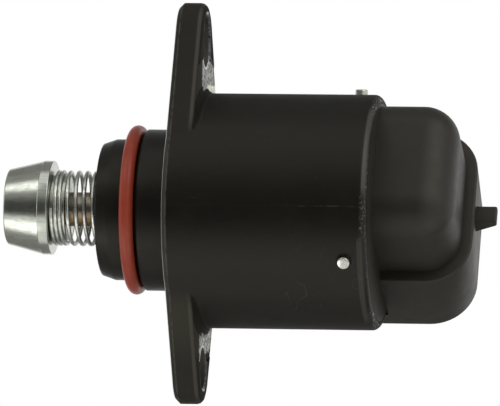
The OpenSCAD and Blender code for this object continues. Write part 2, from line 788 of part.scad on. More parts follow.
module bent_strip(t, gap)
    socket_frame() translate([0, 0, t - blade_w / 2 - gap]) linear_extrude(blade_w + 2 * gap) {
        half = blade_t / 2 + gap;
        polygon([
            [blade_x - half, inner_leg_u - half], [blade_x + half, inner_leg_u - half],
            [blade_x + half, blade_tip_u - blade_tip_len], [blade_x + blade_tip_w / 2 + gap, blade_tip_u],
            [blade_x - blade_tip_w / 2 - gap, blade_tip_u], [blade_x - half, blade_tip_u - blade_tip_len]
        ]);
        translate([bend_x - half, inner_leg_u - half]) square([blade_x - bend_x + 2 * half, 2 * half]);
        translate([bend_x - half, inner_leg_u - half])
            square([2 * half, outer_leg_u - inner_leg_u + 2 * half]);
        translate([terminal_x, outer_leg_u - half]) square([bend_x - terminal_x + half, 2 * half]);
    }

function terminal_t(i) = socket_mid_t + (i - 1.5) * terminal_pitch;

module connector_cap() color([0.20, 0.20, 0.20])
    difference() {
        union() {
            rod(plug_x, floor_x, plug_r);
            ring(stator_end + press_gap, plug_x + cut, bore_r - sheet_t, plug_r);
            socket_frame() closed_back();
            socket_frame() shroud();
            socket_frame() lock_tab();
        }
        socket_frame() socket_cavity();
        // Room for the can's wall and rim
        ring(can_end - overhang - 2 * cut, rim_x, register_r - press_gap, can_r + rim_clearance);
        // Groove of the cap's seal, seats of the rear bush and the rotor's tail, and the pins' holes
        ring(
            seal2_x - seal2_groove_w / 2, seal2_x + seal2_groove_w / 2,
            seal2_mid_r - seal2_cord / 2 - press_gap, plug_r + cut
        );
        rod(plug_x - cut, rear_bush_end + side_gap, rear_bush_out + press_gap);
        for (a = pin_angles) at_pin(a) translate([0, 0, can_r + pin_proud - pin_len - side_gap])
            cylinder(r = pin_r + press_gap, h = pin_len);
        for (i = [0:3]) bent_strip(terminal_t(i), press_gap);
    }

module cap_seal() color([0.12, 0.12, 0.12])
    spun() translate([seal2_mid_r, seal2_x]) circle(r = seal2_cord / 2 - press_gap);

module retaining_pins() color([0.80, 0.80, 0.79])
    for (a = pin_angles) at_pin(a) translate([0, 0, can_r + pin_proud - pin_len]) {
        cylinder(r = pin_r, h = pin_len - pin_bevel);
        translate([0, 0, pin_len - pin_bevel]) cylinder(r1 = pin_r, r2 = pin_r - pin_bevel, h = pin_bevel);
    }

module terminal(i) color([0.78, 0.76, 0.70]) bent_strip(terminal_t(i), 0);
module terminal_1() terminal(0);
module terminal_2() terminal(1);
module terminal_3() terminal(2);
module terminal_4() terminal(3);

housing();
seal_ring();
pintle();
pintle_spring();
lead_screw();
guide_bush();
bearing_outer_race();
bearing_inner_race();
bearing_cage();
bearing_balls();
bearing_clip();
front_cup();
front_bobbin();
front_winding();
front_pole_plate();
rear_pole_plate();
rear_bobbin();
rear_winding();
rear_cup();
rotor_nut();
rotor_magnet();
thrust_washer();
rear_bush();
connector_cap();
cap_seal();
retaining_pins();
terminal_1();
terminal_2();
terminal_3();
terminal_4();
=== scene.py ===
"""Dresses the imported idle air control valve: finishes, finer pieces, soft studio light and the camera."""

import math

import bmesh
import bpy
from mathutils import Matrix, Vector


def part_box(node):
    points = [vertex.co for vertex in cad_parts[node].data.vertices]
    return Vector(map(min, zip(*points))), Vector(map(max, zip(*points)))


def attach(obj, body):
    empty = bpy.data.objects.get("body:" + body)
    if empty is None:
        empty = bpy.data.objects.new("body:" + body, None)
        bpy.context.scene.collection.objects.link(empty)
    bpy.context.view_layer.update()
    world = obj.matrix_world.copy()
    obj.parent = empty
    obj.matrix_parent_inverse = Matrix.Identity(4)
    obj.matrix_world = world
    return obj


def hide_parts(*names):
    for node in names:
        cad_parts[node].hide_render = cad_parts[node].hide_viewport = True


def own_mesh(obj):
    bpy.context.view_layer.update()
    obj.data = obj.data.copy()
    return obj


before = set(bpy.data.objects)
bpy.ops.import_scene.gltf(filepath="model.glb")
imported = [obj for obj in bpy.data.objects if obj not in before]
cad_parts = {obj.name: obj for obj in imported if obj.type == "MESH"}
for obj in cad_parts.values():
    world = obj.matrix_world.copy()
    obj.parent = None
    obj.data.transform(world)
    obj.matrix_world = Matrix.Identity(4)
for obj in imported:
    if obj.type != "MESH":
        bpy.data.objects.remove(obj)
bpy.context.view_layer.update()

bl_info = {
    "name": "Idle air control valve",
    "version": (1, 0, 0),
    "blender": (4, 5, 0),
    "location": "View3D > Sidebar > Valve",
    "description": "Dresses the packed model of an idle air control valve and sets up its studio",
    "category": "Add Mesh",
}

MM = 0.001
# The photograph shows 64 mm of the plane through the valve's axis
VIEW_WIDTH = 64.0
SENSOR = 36.0
# Points nearer than this, in metres, lie in one plane
TOUCH = 1e-6
# Further out than any part of the valve, in millimetres
FAR = 40.0
# Places on the casting, in millimetres as in its solid. x runs along the valve from the flange's front
# face, y to the socket's side and z upwards. SLOT_HALF is half the way between the slot's two centres.
SLOT_Z, SLOT_HALF, HOLE_Z, HOLE_R = 21.8, 0.75, -20.2, 2.65
# Low, high and fading width of the machined ring along x, and along y of the side away from the socket
RING_X = (3.27, 3.6, 0.02)
NEAR_SIDE = (-FAR, 1.0, 1.0)


def linear(code):
    """sRGB hex to linear red, green and blue."""
    parts = [int(code[i : i + 2], 16) / 255 for i in (1, 3, 5)]
    return tuple(p / 12.92 if p <= 0.04045 else ((p + 0.055) / 1.055) ** 2.4 for p in parts)


def rgba(code):
    """sRGB hex to the linear colour with alpha that colour sockets take."""
    return (*linear(code), 1.0)


# Sizes and colours that a user would change


class ValveStudio(bpy.types.PropertyGroup):
    azimuth: bpy.props.FloatProperty(
        name="Azimuth", description="Turn of the camera about the upright axis",
        default=math.radians(8.4), subtype="ANGLE",
    )
    roll: bpy.props.FloatProperty(
        name="Roll", description="Roll of the camera", default=math.radians(0.64), subtype="ANGLE",
    )
    distance: bpy.props.FloatProperty(
        name="Distance", description="Camera's distance from the valve axis", default=1.1, unit="LENGTH",
    )
    aim: bpy.props.FloatVectorProperty(
        name="Aim", description="Point at the middle of the picture",
        default=(9.24 * MM, 0, 1.05 * MM), subtype="TRANSLATION",
    )
    box_level: bpy.props.FloatProperty(
        name="Soft box level", description="Brightness of the soft boxes, where 1 is white",
        default=1.5, min=0,
    )
    ambient: bpy.props.FloatProperty(
        name="Ambient", description="Strength of the room's even light", default=0.65, min=0,
    )
    floor_drop: bpy.props.FloatProperty(
        name="Floor drop", description="Depth of the floor below the valve axis",
        default=60 * MM, unit="LENGTH",
    )


class ValveSizes(bpy.types.PropertyGroup):
    wire: bpy.props.FloatProperty(
        name="Spring wire", description="Diameter of the spring's wire", default=0.54 * MM, unit="LENGTH",
    )
    closed_head: bpy.props.FloatProperty(
        name="Closed turns at the head", description="Spring turns that lie closed at the head", default=2.1,
    )
    open_turns: bpy.props.FloatProperty(
        name="Open turns", description="Spring turns that stand apart", default=8.9,
    )
    closed_seat: bpy.props.FloatProperty(
        name="Closed turns at the seat", description="Spring turns that lie closed in the pocket",
        default=1.6,
    )
    lean: bpy.props.FloatProperty(
        name="Lean", description="How far the head is tipped up on its spring",
        default=math.radians(0.72), subtype="ANGLE",
    )
    cap_turn: bpy.props.FloatProperty(
        name="Connector turn", description="Turn of the connector about the valve axis",
        default=math.radians(28), subtype="ANGLE",
    )
    edge: bpy.props.FloatProperty(
        name="Moulded edge", description="Rounding of the cap's small edges", default=0.3 * MM, unit="LENGTH",
    )


class ValveColours(bpy.types.PropertyGroup):
    coat: bpy.props.FloatVectorProperty(
        name="Coat", description="Black coat on the housing", default=linear("#0c0c0a"), subtype="COLOR",
    )
    cap: bpy.props.FloatVectorProperty(
        name="Cap", description="Black plastic of the connector cap",
        default=linear("#1e1d1a"), subtype="COLOR",
    )
    ring: bpy.props.FloatVectorProperty(
        name="Seal ring", description="Brown-red rubber", default=linear("#862f1c"), subtype="COLOR",
    )
    head: bpy.props.FloatVectorProperty(
        name="Pintle", description="Turned aluminium", default=linear("#c4c7bc"), subtype="COLOR",
    )


# Nodes and patterns


def connect(tree, made, inputs):
    """Links or sets each input that is named."""
    for key, value in inputs.items():
        if isinstance(value, bpy.types.NodeSocket):
            tree.links.new(value, made.inputs[key])
        else:
            made.inputs[key].default_value = value


def node(tree, kind, inputs, out=0, **settings):
    """Adds one node with its settings and links, and gives the output that is asked for."""
    made = tree.nodes.new("ShaderNode" + kind)
    for key, value in settings.items():
        setattr(made, key, value)
    connect(tree, made, inputs)
    return made.outputs[out]


def start(name):
    """A new material with its tree, its shader and its object coordinates in millimetres."""
    material = bpy.data.materials.new(name)
    material.use_nodes = True
    tree = material.node_tree
    metres = node(tree, "TexCoord", {}, out="Object")
    place = node(tree, "VectorMath", {0: metres, "Scale": 1 / MM}, operation="SCALE")
    return material, tree, tree.nodes["Principled BSDF"], place


def all_of(tree, *masks):
    """Where every mask is 1."""
    joined = masks[0]
    for mask in masks[1:]:
        joined = node(tree, "Math", {0: joined, 1: mask}, operation="MULTIPLY", use_clamp=True)
    return joined


def any_of(tree, *masks):
    """Where at least one mask is 1."""
    joined = masks[0]
    for mask in masks[1:]:
        joined = node(tree, "Math", {0: joined, 1: mask}, operation="MAXIMUM", use_clamp=True)
    return joined


def between(tree, value, low, high, soft):
    """1 where value lies from low to high, with edges that fade over soft."""
    ramps = [
        node(tree, "MapRange", {0: value, 1: edge - fade, 2: edge + fade}, interpolation_type="SMOOTHSTEP")
        for edge, fade in ((low, soft), (high, -soft))
    ]
    return all_of(tree, *ramps)


def radius_from(tree, place, y, z):
    """Distance from a line along x through y and z."""
    moved = node(tree, "VectorMath", {0: place, 1: (0, y, z)}, operation="SUBTRACT")
    flat = node(tree, "VectorMath", {0: moved, 1: (0, 1, 1)}, operation="MULTIPLY")
    return node(tree, "VectorMath", {0: flat}, out="Value", operation="LENGTH")


def grain(tree, place, size, low, high, stretch=(1, 1, 1), detail=3.0, offset=0.0):
    """Noise in cells of size millimetres, remapped so that low becomes 0 and high becomes 1. A stretch
    below 1 lengthens the cells along that axis, and each offset shows another part of the noise."""
    moved = node(tree, "Mapping", {"Vector": place, "Scale": stretch, "Location": (offset, offset, offset)})
    noise = node(tree, "TexNoise", {"Vector": moved, "Scale": 1 / size, "Detail": detail, "Roughness": 0.55})
    return node(tree, "MapRange", {0: noise, 1: low, 2: high})


def tinted(tree, colour, *layers):
    """Lays colours over a first one, each with its mask and its share."""
    for mask, share, over in layers:
        amount = node(tree, "Math", {0: mask, 1: share}, operation="MULTIPLY")
        colour = node(tree, "Mix", {0: amount, 6: colour, 7: over}, out=2, data_type="RGBA")
    return colour


# Materials


def casting_places(tree, place):
    """What the casting's marks are placed by, in millimetres: the axes, the height above or below the
    valve axis, and the distances from that axis and from the axes of the fixing holes."""
    axes = node(tree, "SeparateXYZ", {0: place}).node.outputs
    # z is folded so that the slot's two centres fall on one
    folded = node(tree, "Math", {0: axes["Z"], 1: SLOT_Z}, operation="SUBTRACT")
    folded = node(tree, "Math", {0: folded}, operation="ABSOLUTE")
    folded = node(tree, "Math", {0: folded, 1: SLOT_HALF}, operation="SUBTRACT")
    folded = node(tree, "Math", {0: folded, 1: 0.0}, operation="MAXIMUM")
    folded = node(tree, "CombineXYZ", {"Y": axes["Y"], "Z": folded})
    return {
        "x": axes["X"], "y": axes["Y"], "z": axes["Z"],
        "height": node(tree, "Math", {0: axes["Z"]}, operation="ABSOLUTE"),
        "around": radius_from(tree, place, 0, 0),
        "from_slot": node(tree, "VectorMath", {0: folded}, out="Value", operation="LENGTH"),
        "from_hole": radius_from(tree, place, 0, HOLE_Z),
    }


def patch(tree, at, *more, **limits):
    """Where each place named in limits lies from a low to a high value, with edges that fade over the
    third one, and where every mask in more is 1."""
    return all_of(tree, *(between(tree, at[name], *limit) for name, limit in limits.items()), *more)


def bare_places(tree, place, at):
    """The casting's places without coat: the machined ring behind the ears, the front face, the mouths
    of the holes, chips on the rim and the fillet above the ring."""
    # The ring reaches further out on the slotted ear, and its edge is broken by the coat
    ragged = grain(tree, place, 0.9, 0, 1, detail=6.0)
    ragged = node(tree, "Math", {0: ragged, 1: 2.4, 2: at["around"]}, operation="MULTIPLY_ADD")
    edges = {**at, "ragged": ragged}
    upper = patch(tree, edges, z=(0, FAR, 0.5), ragged=(16.6, 20.9, 0.15))
    lower = patch(tree, edges, z=(-FAR, 0, 0.5), ragged=(17.2, 19.9, 0.15))
    ring = patch(tree, at, any_of(tree, upper, lower), x=RING_X, y=(-3.2, 12, 0.5))
    # Coat stays in the pits of the ring
    pits = grain(tree, place, 0.3, 0.54, 0.62, detail=3.0, offset=0.7)
    kept = node(tree, "Math", {0: pits, 1: -0.45, 2: 1.0}, operation="MULTIPLY_ADD")
    face = patch(tree, at, x=(-0.1, 0.06, 0.03), around=(10.6, FAR, 0.1))
    lip = (HOLE_R + 0.03, HOLE_R + 0.31, 0.02)
    # On the far side of the mouths the coat is only rubbed thin
    lips = patch(
        tree, at, any_of(tree, patch(tree, at, from_slot=lip), patch(tree, at, from_hole=lip)),
        grain(tree, place, 0.9, 0.30, 0.40, offset=3.1),
        node(tree, "MapRange", {0: at["y"], 1: 0.4, 2: 1.8, 3: 1.0, 4: 0.30}), x=(3.12, 3.7, 0.02),
    )
    chips = patch(
        tree, at, grain(tree, place, 0.28, 0.64, 0.68, detail=2.0, offset=7.0),
        x=(25.7, 26.3, 0.05), height=(12.6, 15.2, 0.3), y=NEAR_SIDE,
    )
    heel = patch(
        tree, at, grain(tree, place, 1.1, 0.40, 0.46, offset=2.3),
        x=(3.25, 5.4, 0.02), z=(15.1, 16.1, 0.2), y=(0.5, 9.0, 1.0),
    )
    return ring, kept, face, lips, chips, heel


def coated_casting(colours):
    """Die-cast aluminium under a thin black coat: semi-gloss and nearly even. The coat is missing on the
    machined ring behind the ears, at the mouths of the holes and on the edge of the front face, and
    it is rubbed thin where the rim is rolled over the cap."""
    material, tree, shader, place = start("coated_die_casting")
    at = casting_places(tree, place)
    ring, kept, face, lips, chips, heel = bare_places(tree, place, at)
    metal = any_of(tree, all_of(tree, ring, kept), face, lips, chips, heel)

    # The rolled rim, smooth and rubbed thin above, rough on the middle, and with painted shade in a crease
    # further in below
    rubbed_up = patch(tree, at, x=(25.5, 26.02, 0.08), z=(2.6, 13.0, 0.8), y=NEAR_SIDE)
    rubbed_low = patch(tree, at, x=(24.95, 25.6, 0.08), z=(-13.8, -3.4, 0.5), y=NEAR_SIDE)
    # Painted shade: a near-black line where the rim creases in below the axis
    painted_crease_shade = patch(tree, at, x=(24.82, 24.95, 0.04), z=(-14.5, -3.0, 0.6), y=NEAR_SIDE)
    rough_rim = patch(
        tree, at, grain(tree, place, 0.3, 0.56, 0.64, offset=1.9),
        x=(25.35, 26.1, 0.08), z=(-3.4, 2.6, 0.4), y=NEAR_SIDE,
    )
    edge_bits = patch(
        tree, at, grain(tree, place, 0.3, 0.60, 0.66, offset=5.0), x=(25.95, 26.3, 0.05), y=NEAR_SIDE,
    )
    # Fine curved scratches, drawn where one noise crosses its middle and another lets them show
    curve = between(tree, grain(tree, place, 3.6, 0, 1, detail=1.0, offset=11.0), 0.497, 0.503, 0.002)
    scratches = patch(
        tree, at, curve, grain(tree, place, 4.5, 0.50, 0.56, detail=1.0, offset=4.0),
        x=(16, 25, 2.0), y=NEAR_SIDE, z=(-14, -5, 2.0),
    )
    # The mould's parting line runs along the near side
    wander = grain(tree, place, 2.5, 0, 1)
    wander = node(tree, "Math", {0: wander, 1: -0.35, 2: at["z"]}, operation="MULTIPLY_ADD")
    parting = patch(tree, at, between(tree, wander, 0.55, 0.68, 0.06), y=(-20, -12, 0.5))
    worn_line = patch(
        tree, at, parting, grain(tree, place, 1.2, 0.48, 0.58, offset=0.4), x=(17, 26, 3.0),
    )
    dust = grain(tree, place, 0.24, 0.71, 0.75, detail=1.0, offset=0.9)
    # The ears are as cast, rougher and greyer than the turned can, and rubbed along their front edges. Along
    # their rear edges they carry a painted highlight
    ears = patch(tree, at, around=(15.4, FAR, 0.4), x=(-0.5, 3.3, 0.2))
    low_ear = patch(tree, at, ears, z=(-17.5, -10, 3.0))
    # Painted highlight: a lighter band on the ears' rounded rear edge, on the near side only
    painted_rear_highlight = patch(tree, at, ears, x=(2.86, 3.5, 0.08), y=(-FAR, -2.4, 1.0))
    front_edge = patch(
        tree, at, grain(tree, place, 0.8, 0.36, 0.5, offset=6.0), x=(0.5, 0.68, 0.06), y=NEAR_SIDE,
    )
    # Drilled walls of the holes
    drilled = (0, HOLE_R + 0.01, 0.02)
    walls = any_of(tree, patch(tree, at, from_slot=drilled), patch(tree, at, from_hole=drilled))
    walls = patch(tree, at, walls, x=(0.02, 3.3, 0.02))

    coat = tinted(
        tree, (*colours.coat, 1),
        (grain(tree, place, 9.0, 0.3, 0.7, detail=2.0), 0.5, rgba("#110f0c")),
        (ears, 0.8, rgba("#1d1c18")), (low_ear, 0.4, rgba("#38362c")), (front_edge, 0.7, rgba("#4a483f")),
        (walls, 0.7, rgba("#4c483f")), (painted_rear_highlight, 0.6, rgba("#45433b")),
        (dust, 0.12, rgba("#5a5852")), (scratches, 0.35, rgba("#6b6860")), (worn_line, 0.12, rgba("#77736a")),
        (rubbed_up, 0.6, rgba("#4c4c47")), (rubbed_low, 0.45, rgba("#3c3b36")),
        (painted_crease_shade, 0.9, rgba("#080807")), (rough_rim, 0.7, rgba("#56554f")), (edge_bits, 0.55, rgba("#6f6e68")),
    )
    speckle = grain(tree, place, 0.4, 0.46, 0.62, offset=0.5)
    steel = tinted(tree, rgba("#4d545d"), (speckle, 0.9, rgba("#c4cbd2")))
    # The facing tool left rings on the front face; they are drawn 0.3 mm apart to show
    rings = node(
        tree, "TexNoise", {"W": at["around"], "Scale": 1 / 0.3, "Detail": 3.0}, noise_dimensions="1D",
    )
    faced = all_of(tree, face, rings)
    bright = tinted(
        tree, steel, (any_of(tree, face, lips, chips, heel), 0.9, rgba("#e4e6e4")),
        (faced, 0.5, rgba("#8b8e8d")),
    )
    worn = node(tree, "MapRange", {0: any_of(tree, heel, faced), 3: 0.40, 4: 0.22})
    # The coat is smooth on the can, rougher above and below where the spray ran thin, rougher still on
    # the ears, and roughest on their backs and in the fillet that runs from there into the can
    coated = node(tree, "MapRange", {0: grain(tree, place, 3.0, 0.3, 0.7, offset=0.2), 3: 0.36, 4: 0.43})
    root = patch(
        tree, at, node(tree, "MapRange", {0: at["x"], 1: 4.5, 2: 8.5, 3: 1.0, 4: 0.0}),
        x=(3.27, FAR, 0.02), around=(15.12, FAR, 0.08),
    )
    thin = patch(tree, at, node(tree, "MapRange", {0: at["height"], 1: 10.5, 2: 14.5}), x=(3.4, FAR, 0.1))
    for mask, rise in ((ears, 0.30), (root, 0.50), (thin, 0.28)):
        coated = node(
            tree, "Math", {0: mask, 1: rise, 2: coated}, operation="MULTIPLY_ADD", use_clamp=True,
        )
    # The coat softens the edges. On it lie orange peel, the parting line's low ridge, the steps down to
    # the bare places, and the pits that the tool tore in the machined ring
    peel = grain(tree, place, 0.8, 0.3, 0.7, detail=4.0)
    torn = grain(tree, place, 0.5, 0.3, 0.7, stretch=(1, 1, 1.6), detail=4.0, offset=8.0)
    torn = all_of(tree, ring, torn)
    normal = node(tree, "Bevel", {"Radius": 0.55 * MM}, samples=6)
    for height, depth in ((peel, 0.008), (parting, 0.012), (metal, -0.02), (torn, 0.16)):
        normal = node(tree, "Bump", {"Height": height, "Distance": depth * MM, "Normal": normal})
    connect(tree, shader, {
        "Base Color": node(tree, "Mix", {0: metal, 6: coat, 7: bright}, out=2, data_type="RGBA"),
        "Metallic": metal,
        "Roughness": node(tree, "Mix", {0: metal, 2: coated, 3: worn}),
        "Specular IOR Level": 0.24,
        "Specular Tint": rgba("#fffae9"),
        "Normal": normal,
    })
    return material


def moulded_nylon(colours):
    """Glass-filled nylon from a spark-finished mould: matt, with a fine even grain and faint rub marks."""
    material, tree, shader, place = start("black_glass_filled_nylon")
    rubs = grain(tree, place, 0.25, 0.72, 0.77, stretch=(0.25, 1, 1), detail=1.0, offset=0.3)
    colour = tinted(
        tree, (*colours.cap, 1),
        (grain(tree, place, 6.0, 0.3, 0.7), 0.6, rgba("#23221e")), (rubs, 0.12, rgba("#5c5b55")),
    )
    # The mould's pits are about 0.03 mm wide; they are drawn at 0.15 mm to show
    pits = grain(tree, place, 0.15, 0.2, 0.8)
    sheen = grain(tree, place, 1.5, 0.3, 0.7, offset=0.6)
    connect(tree, shader, {
        "Base Color": colour,
        "Roughness": node(tree, "MapRange", {0: sheen, 3: 0.44, 4: 0.52}),
        "Specular IOR Level": 0.30,
        "Specular Tint": rgba("#fffae9"),
        "Normal": node(tree, "Bump", {"Height": pits, "Distance": 0.005 * MM}),
    })
    return material


def moulded_rubber(name, colour, lighter, roughness, gloss):
    """Compression-moulded rubber: a soft sheen, and a faint bloom in patches."""
    material, tree, shader, place = start(name)
    sheen = grain(tree, place, 1.0, 0.3, 0.7, offset=0.2)
    connect(tree, shader, {
        "Base Color": tinted(tree, colour, (grain(tree, place, 3.0, 0.35, 0.7, detail=4.0), 1.0, lighter)),
        "Roughness": node(tree, "MapRange", {0: sheen, 3: roughness - 0.04, 4: roughness + 0.05}),
        "Specular IOR Level": gloss,
        "Normal": node(tree, "Bump", {"Height": grain(tree, place, 0.25, 0.2, 0.8), "Distance": 0.006 * MM}),
    })
    return material


def turned_aluminium(colours):
    """Aluminium turned in a lathe with a sharp tool: nearly a mirror along the axis, drawn out
    around it by feed marks."""
    material, tree, shader, place = start("turned_aluminium")
    along = node(tree, "SeparateXYZ", {0: place})
    # Feed marks follow the tool along the outside and across the end faces
    run = node(tree, "Math", {0: along, 1: radius_from(tree, place, 0, 0)}, operation="ADD")
    # The real feed is about 0.05 mm; it is drawn at 0.15 mm to show
    feed = node(tree, "TexNoise", {"W": run, "Scale": 1 / 0.15, "Detail": 3.0}, noise_dimensions="1D")
    drift = node(tree, "TexNoise", {"W": run, "Scale": 1 / 0.7, "Detail": 2.0}, noise_dimensions="1D")
    # Fine lines that the drawn bar leaves along the axis
    streaks = grain(tree, place, 0.3, 0.42, 0.72, stretch=(0.05, 1, 1), detail=4.0)
    connect(tree, shader, {
        "Base Color": tinted(
            tree, (*colours.head, 1), (feed, 0.2, rgba("#9fa39a")), (streaks, 0.45, rgba("#868a84")),
            (grain(tree, place, 1.8, 0.5, 0.8, detail=4.0), 0.25, rgba("#8f9288")),
        ),
        "Metallic": 1.0,
        "Roughness": node(tree, "MapRange", {0: drift, 3: 0.19, 4: 0.28}),
        "Normal": node(tree, "Bump", {"Height": feed, "Distance": 0.0012 * MM}),
    })
    return material


def browner_below_steel():
    """Ground steel shaft, coloured darker and browner on its underside."""
    material, tree, shader, place = start("ground_steel_browner_below")
    z = node(tree, "SeparateXYZ", {0: place}, out=2)
    rings = grain(tree, place, 0.3, 0.3, 0.7, stretch=(1, 0.1, 0.1))
    connect(tree, shader, {
        # Below the axis the shaft is coloured darker and browner
        "Base Color": tinted(
            tree, rgba("#b3ab9c"), (between(tree, z, -5, -0.6, 0.9), 0.85, rgba("#8a6a3c")),
            (rings, 0.4, rgba("#6a5a44")),
        ),
        "Metallic": 1.0,
        "Roughness": node(tree, "MapRange", {0: rings, 3: 0.26, 4: 0.38}),
        "Normal": node(tree, "Bump", {"Height": rings, "Distance": 0.006 * MM}),
    })
    return material


def worked_metal(name, colour, darker, roughness, size=0.6, stretch=(1, 1, 1), depth=0.003):
    """Drawn, pressed or ground metal: a fine grain, along the work where stretch says so."""
    material, tree, shader, place = start(name)
    streak = grain(tree, place, size, 0.3, 0.7, stretch=stretch, detail=4.0)
    connect(tree, shader, {
        "Base Color": tinted(tree, colour, (streak, 1.0, darker)),
        "Metallic": 1.0,
        "Roughness": node(tree, "MapRange", {0: streak, 3: roughness - 0.05, 4: roughness + 0.1}),
        "Normal": node(tree, "Bump", {"Height": streak, "Distance": depth * MM}),
    })
    return material


def plain_moulding(name, colour, lighter, roughness):
    """Unfilled or mineral-filled plastic inside the valve: even colour and a faint flow pattern."""
    material, tree, shader, place = start(name)
    flow = grain(tree, place, 4.0, 0.3, 0.7, stretch=(0.4, 1, 1))
    connect(tree, shader, {
        "Base Color": tinted(tree, colour, (flow, 1.0, lighter)),
        "Roughness": roughness,
        "Normal": node(tree, "Bump", {"Height": grain(tree, place, 0.3, 0.2, 0.8), "Distance": 0.004 * MM}),
    })
    return material


def wound_copper():
    """Enamelled copper wire in layers: parallel ridges 0.25 mm apart around the former."""
    material, tree, shader, place = start("enamelled_copper")
    along = node(tree, "SeparateXYZ", {0: place})
    wires = node(tree, "Math", {0: along, 1: 2 * math.pi / 0.25}, operation="MULTIPLY")
    wires = node(tree, "Math", {0: wires}, operation="SINE")
    patches = grain(tree, place, 1.0, 0.3, 0.7)
    connect(tree, shader, {
        "Base Color": tinted(tree, rgba("#a4532a"), (patches, 1.0, rgba("#7c3a1c"))),
        "Metallic": 0.8,
        "Roughness": 0.32,
        "Normal": node(tree, "Bump", {"Height": wires, "Distance": 0.05 * MM}),
    })
    return material


# Meshes


def finish_mesh(mesh, material, smooth_angle):
    """Gives a mesh its finish, smooth except at edges sharper than smooth_angle in degrees."""
    mesh.materials.clear()
    mesh.materials.append(material)
    mesh.shade_smooth()
    mesh.set_sharp_from_angle(angle=math.radians(smooth_angle))


def finish_node(name, material):
    """Gives a CAD node its finish, and smooths its curved faces without moving a vertex."""
    finish_mesh(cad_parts[name].data, material, 30)


def bmesh_object(name, shape, material=None, smooth_angle=35):
    """A new object of this bmesh, with its faces turned outwards."""
    bmesh.ops.recalc_face_normals(shape, faces=shape.faces)
    mesh = bpy.data.meshes.new(name)
    shape.to_mesh(mesh)
    shape.free()
    finish_mesh(mesh, material, smooth_angle)
    made = bpy.data.objects.new(name, mesh)
    bpy.context.scene.collection.objects.link(made)
    return made


def lathe(name, profile, material=None, steps=160, smooth_angle=35, closed=False):
    """Spins a profile of (x, r) points in millimetres about the valve axis."""
    shape = bmesh.new()
    turns = [2 * math.pi * i / steps for i in range(steps)]
    rings = []
    for x, r in profile:
        if r == 0:
            rings.append([shape.verts.new((x * MM, 0, 0))])
            continue
        ring = [(x * MM, r * MM * math.cos(a), r * MM * math.sin(a)) for a in turns]
        rings.append([shape.verts.new(at) for at in ring])
    pairs = list(zip(rings, rings[1:]))
    if closed:
        pairs.append((rings[-1], rings[0]))
    for a, b in pairs:
        for i in range(steps):
            j = (i + 1) % steps
            corners = [a[i % len(a)], a[j % len(a)], b[j % len(b)], b[i % len(b)]]
            shape.faces.new(list(dict.fromkeys(corners)))
    return bmesh_object(name, shape, material, smooth_angle)


def arc(cx, cr, radius, first, last, steps=6):
    """Points of an arc in a profile, from first to last in degrees, 0 along +x and 90 outwards."""
    turns = [math.radians(first + (last - first) * i / steps) for i in range(steps + 1)]
    return [(cx + radius * math.cos(a), cr + radius * math.sin(a)) for a in turns]


def box_mesh(low, high):
    """A box between two corners, in millimetres, as a bmesh."""
    shape = bmesh.new()
    bmesh.ops.create_cube(shape, size=1)
    for v in shape.verts:
        v.co = Vector([(low[i] if v.co[i] < 0 else high[i]) * MM for i in range(3)])
    return shape


def round_edges(shape, wanted, radius, segments):
    """Rounds the edges that wanted(edge) picks, to a radius in millimetres."""
    bmesh.ops.bevel(
        shape, geom=[e for e in shape.edges if wanted(e)], offset=radius * MM, offset_type="OFFSET",
        segments=segments, profile=0.5, affect="EDGES", clamp_overlap=False,
    )


def both_at(edge, axis, value):
    """True if both ends of the edge lie at value millimetres on the axis."""
    return all(abs(v.co[axis] - value * MM) < TOUCH for v in edge.verts)


def runs_along(edge, axis):
    """True if the two ends of the edge lie apart on the axis."""
    return abs(edge.verts[0].co[axis] - edge.verts[1].co[axis]) >= TOUCH


def is_sharp(edge, angle=40):
    """True if two faces meet at the edge by more than angle in degrees."""
    return len(edge.link_faces) == 2 and edge.calc_face_angle(0) > math.radians(angle)


def combined(target, operation, others):
    """Joins the others into target, or cuts them out of it, as one closed skin."""
    for other in others:
        step = target.modifiers.new(other.name, "BOOLEAN")
        step.operation = operation
        step.solver = "EXACT"
        step.object = other
    bpy.context.view_layer.update()
    seen = target.evaluated_get(bpy.context.evaluated_depsgraph_get())
    mesh = bpy.data.meshes.new_from_object(seen)
    target.modifiers.clear()
    target.data = mesh
    for other in others:
        bpy.data.objects.remove(other)
    return target


# Pieces


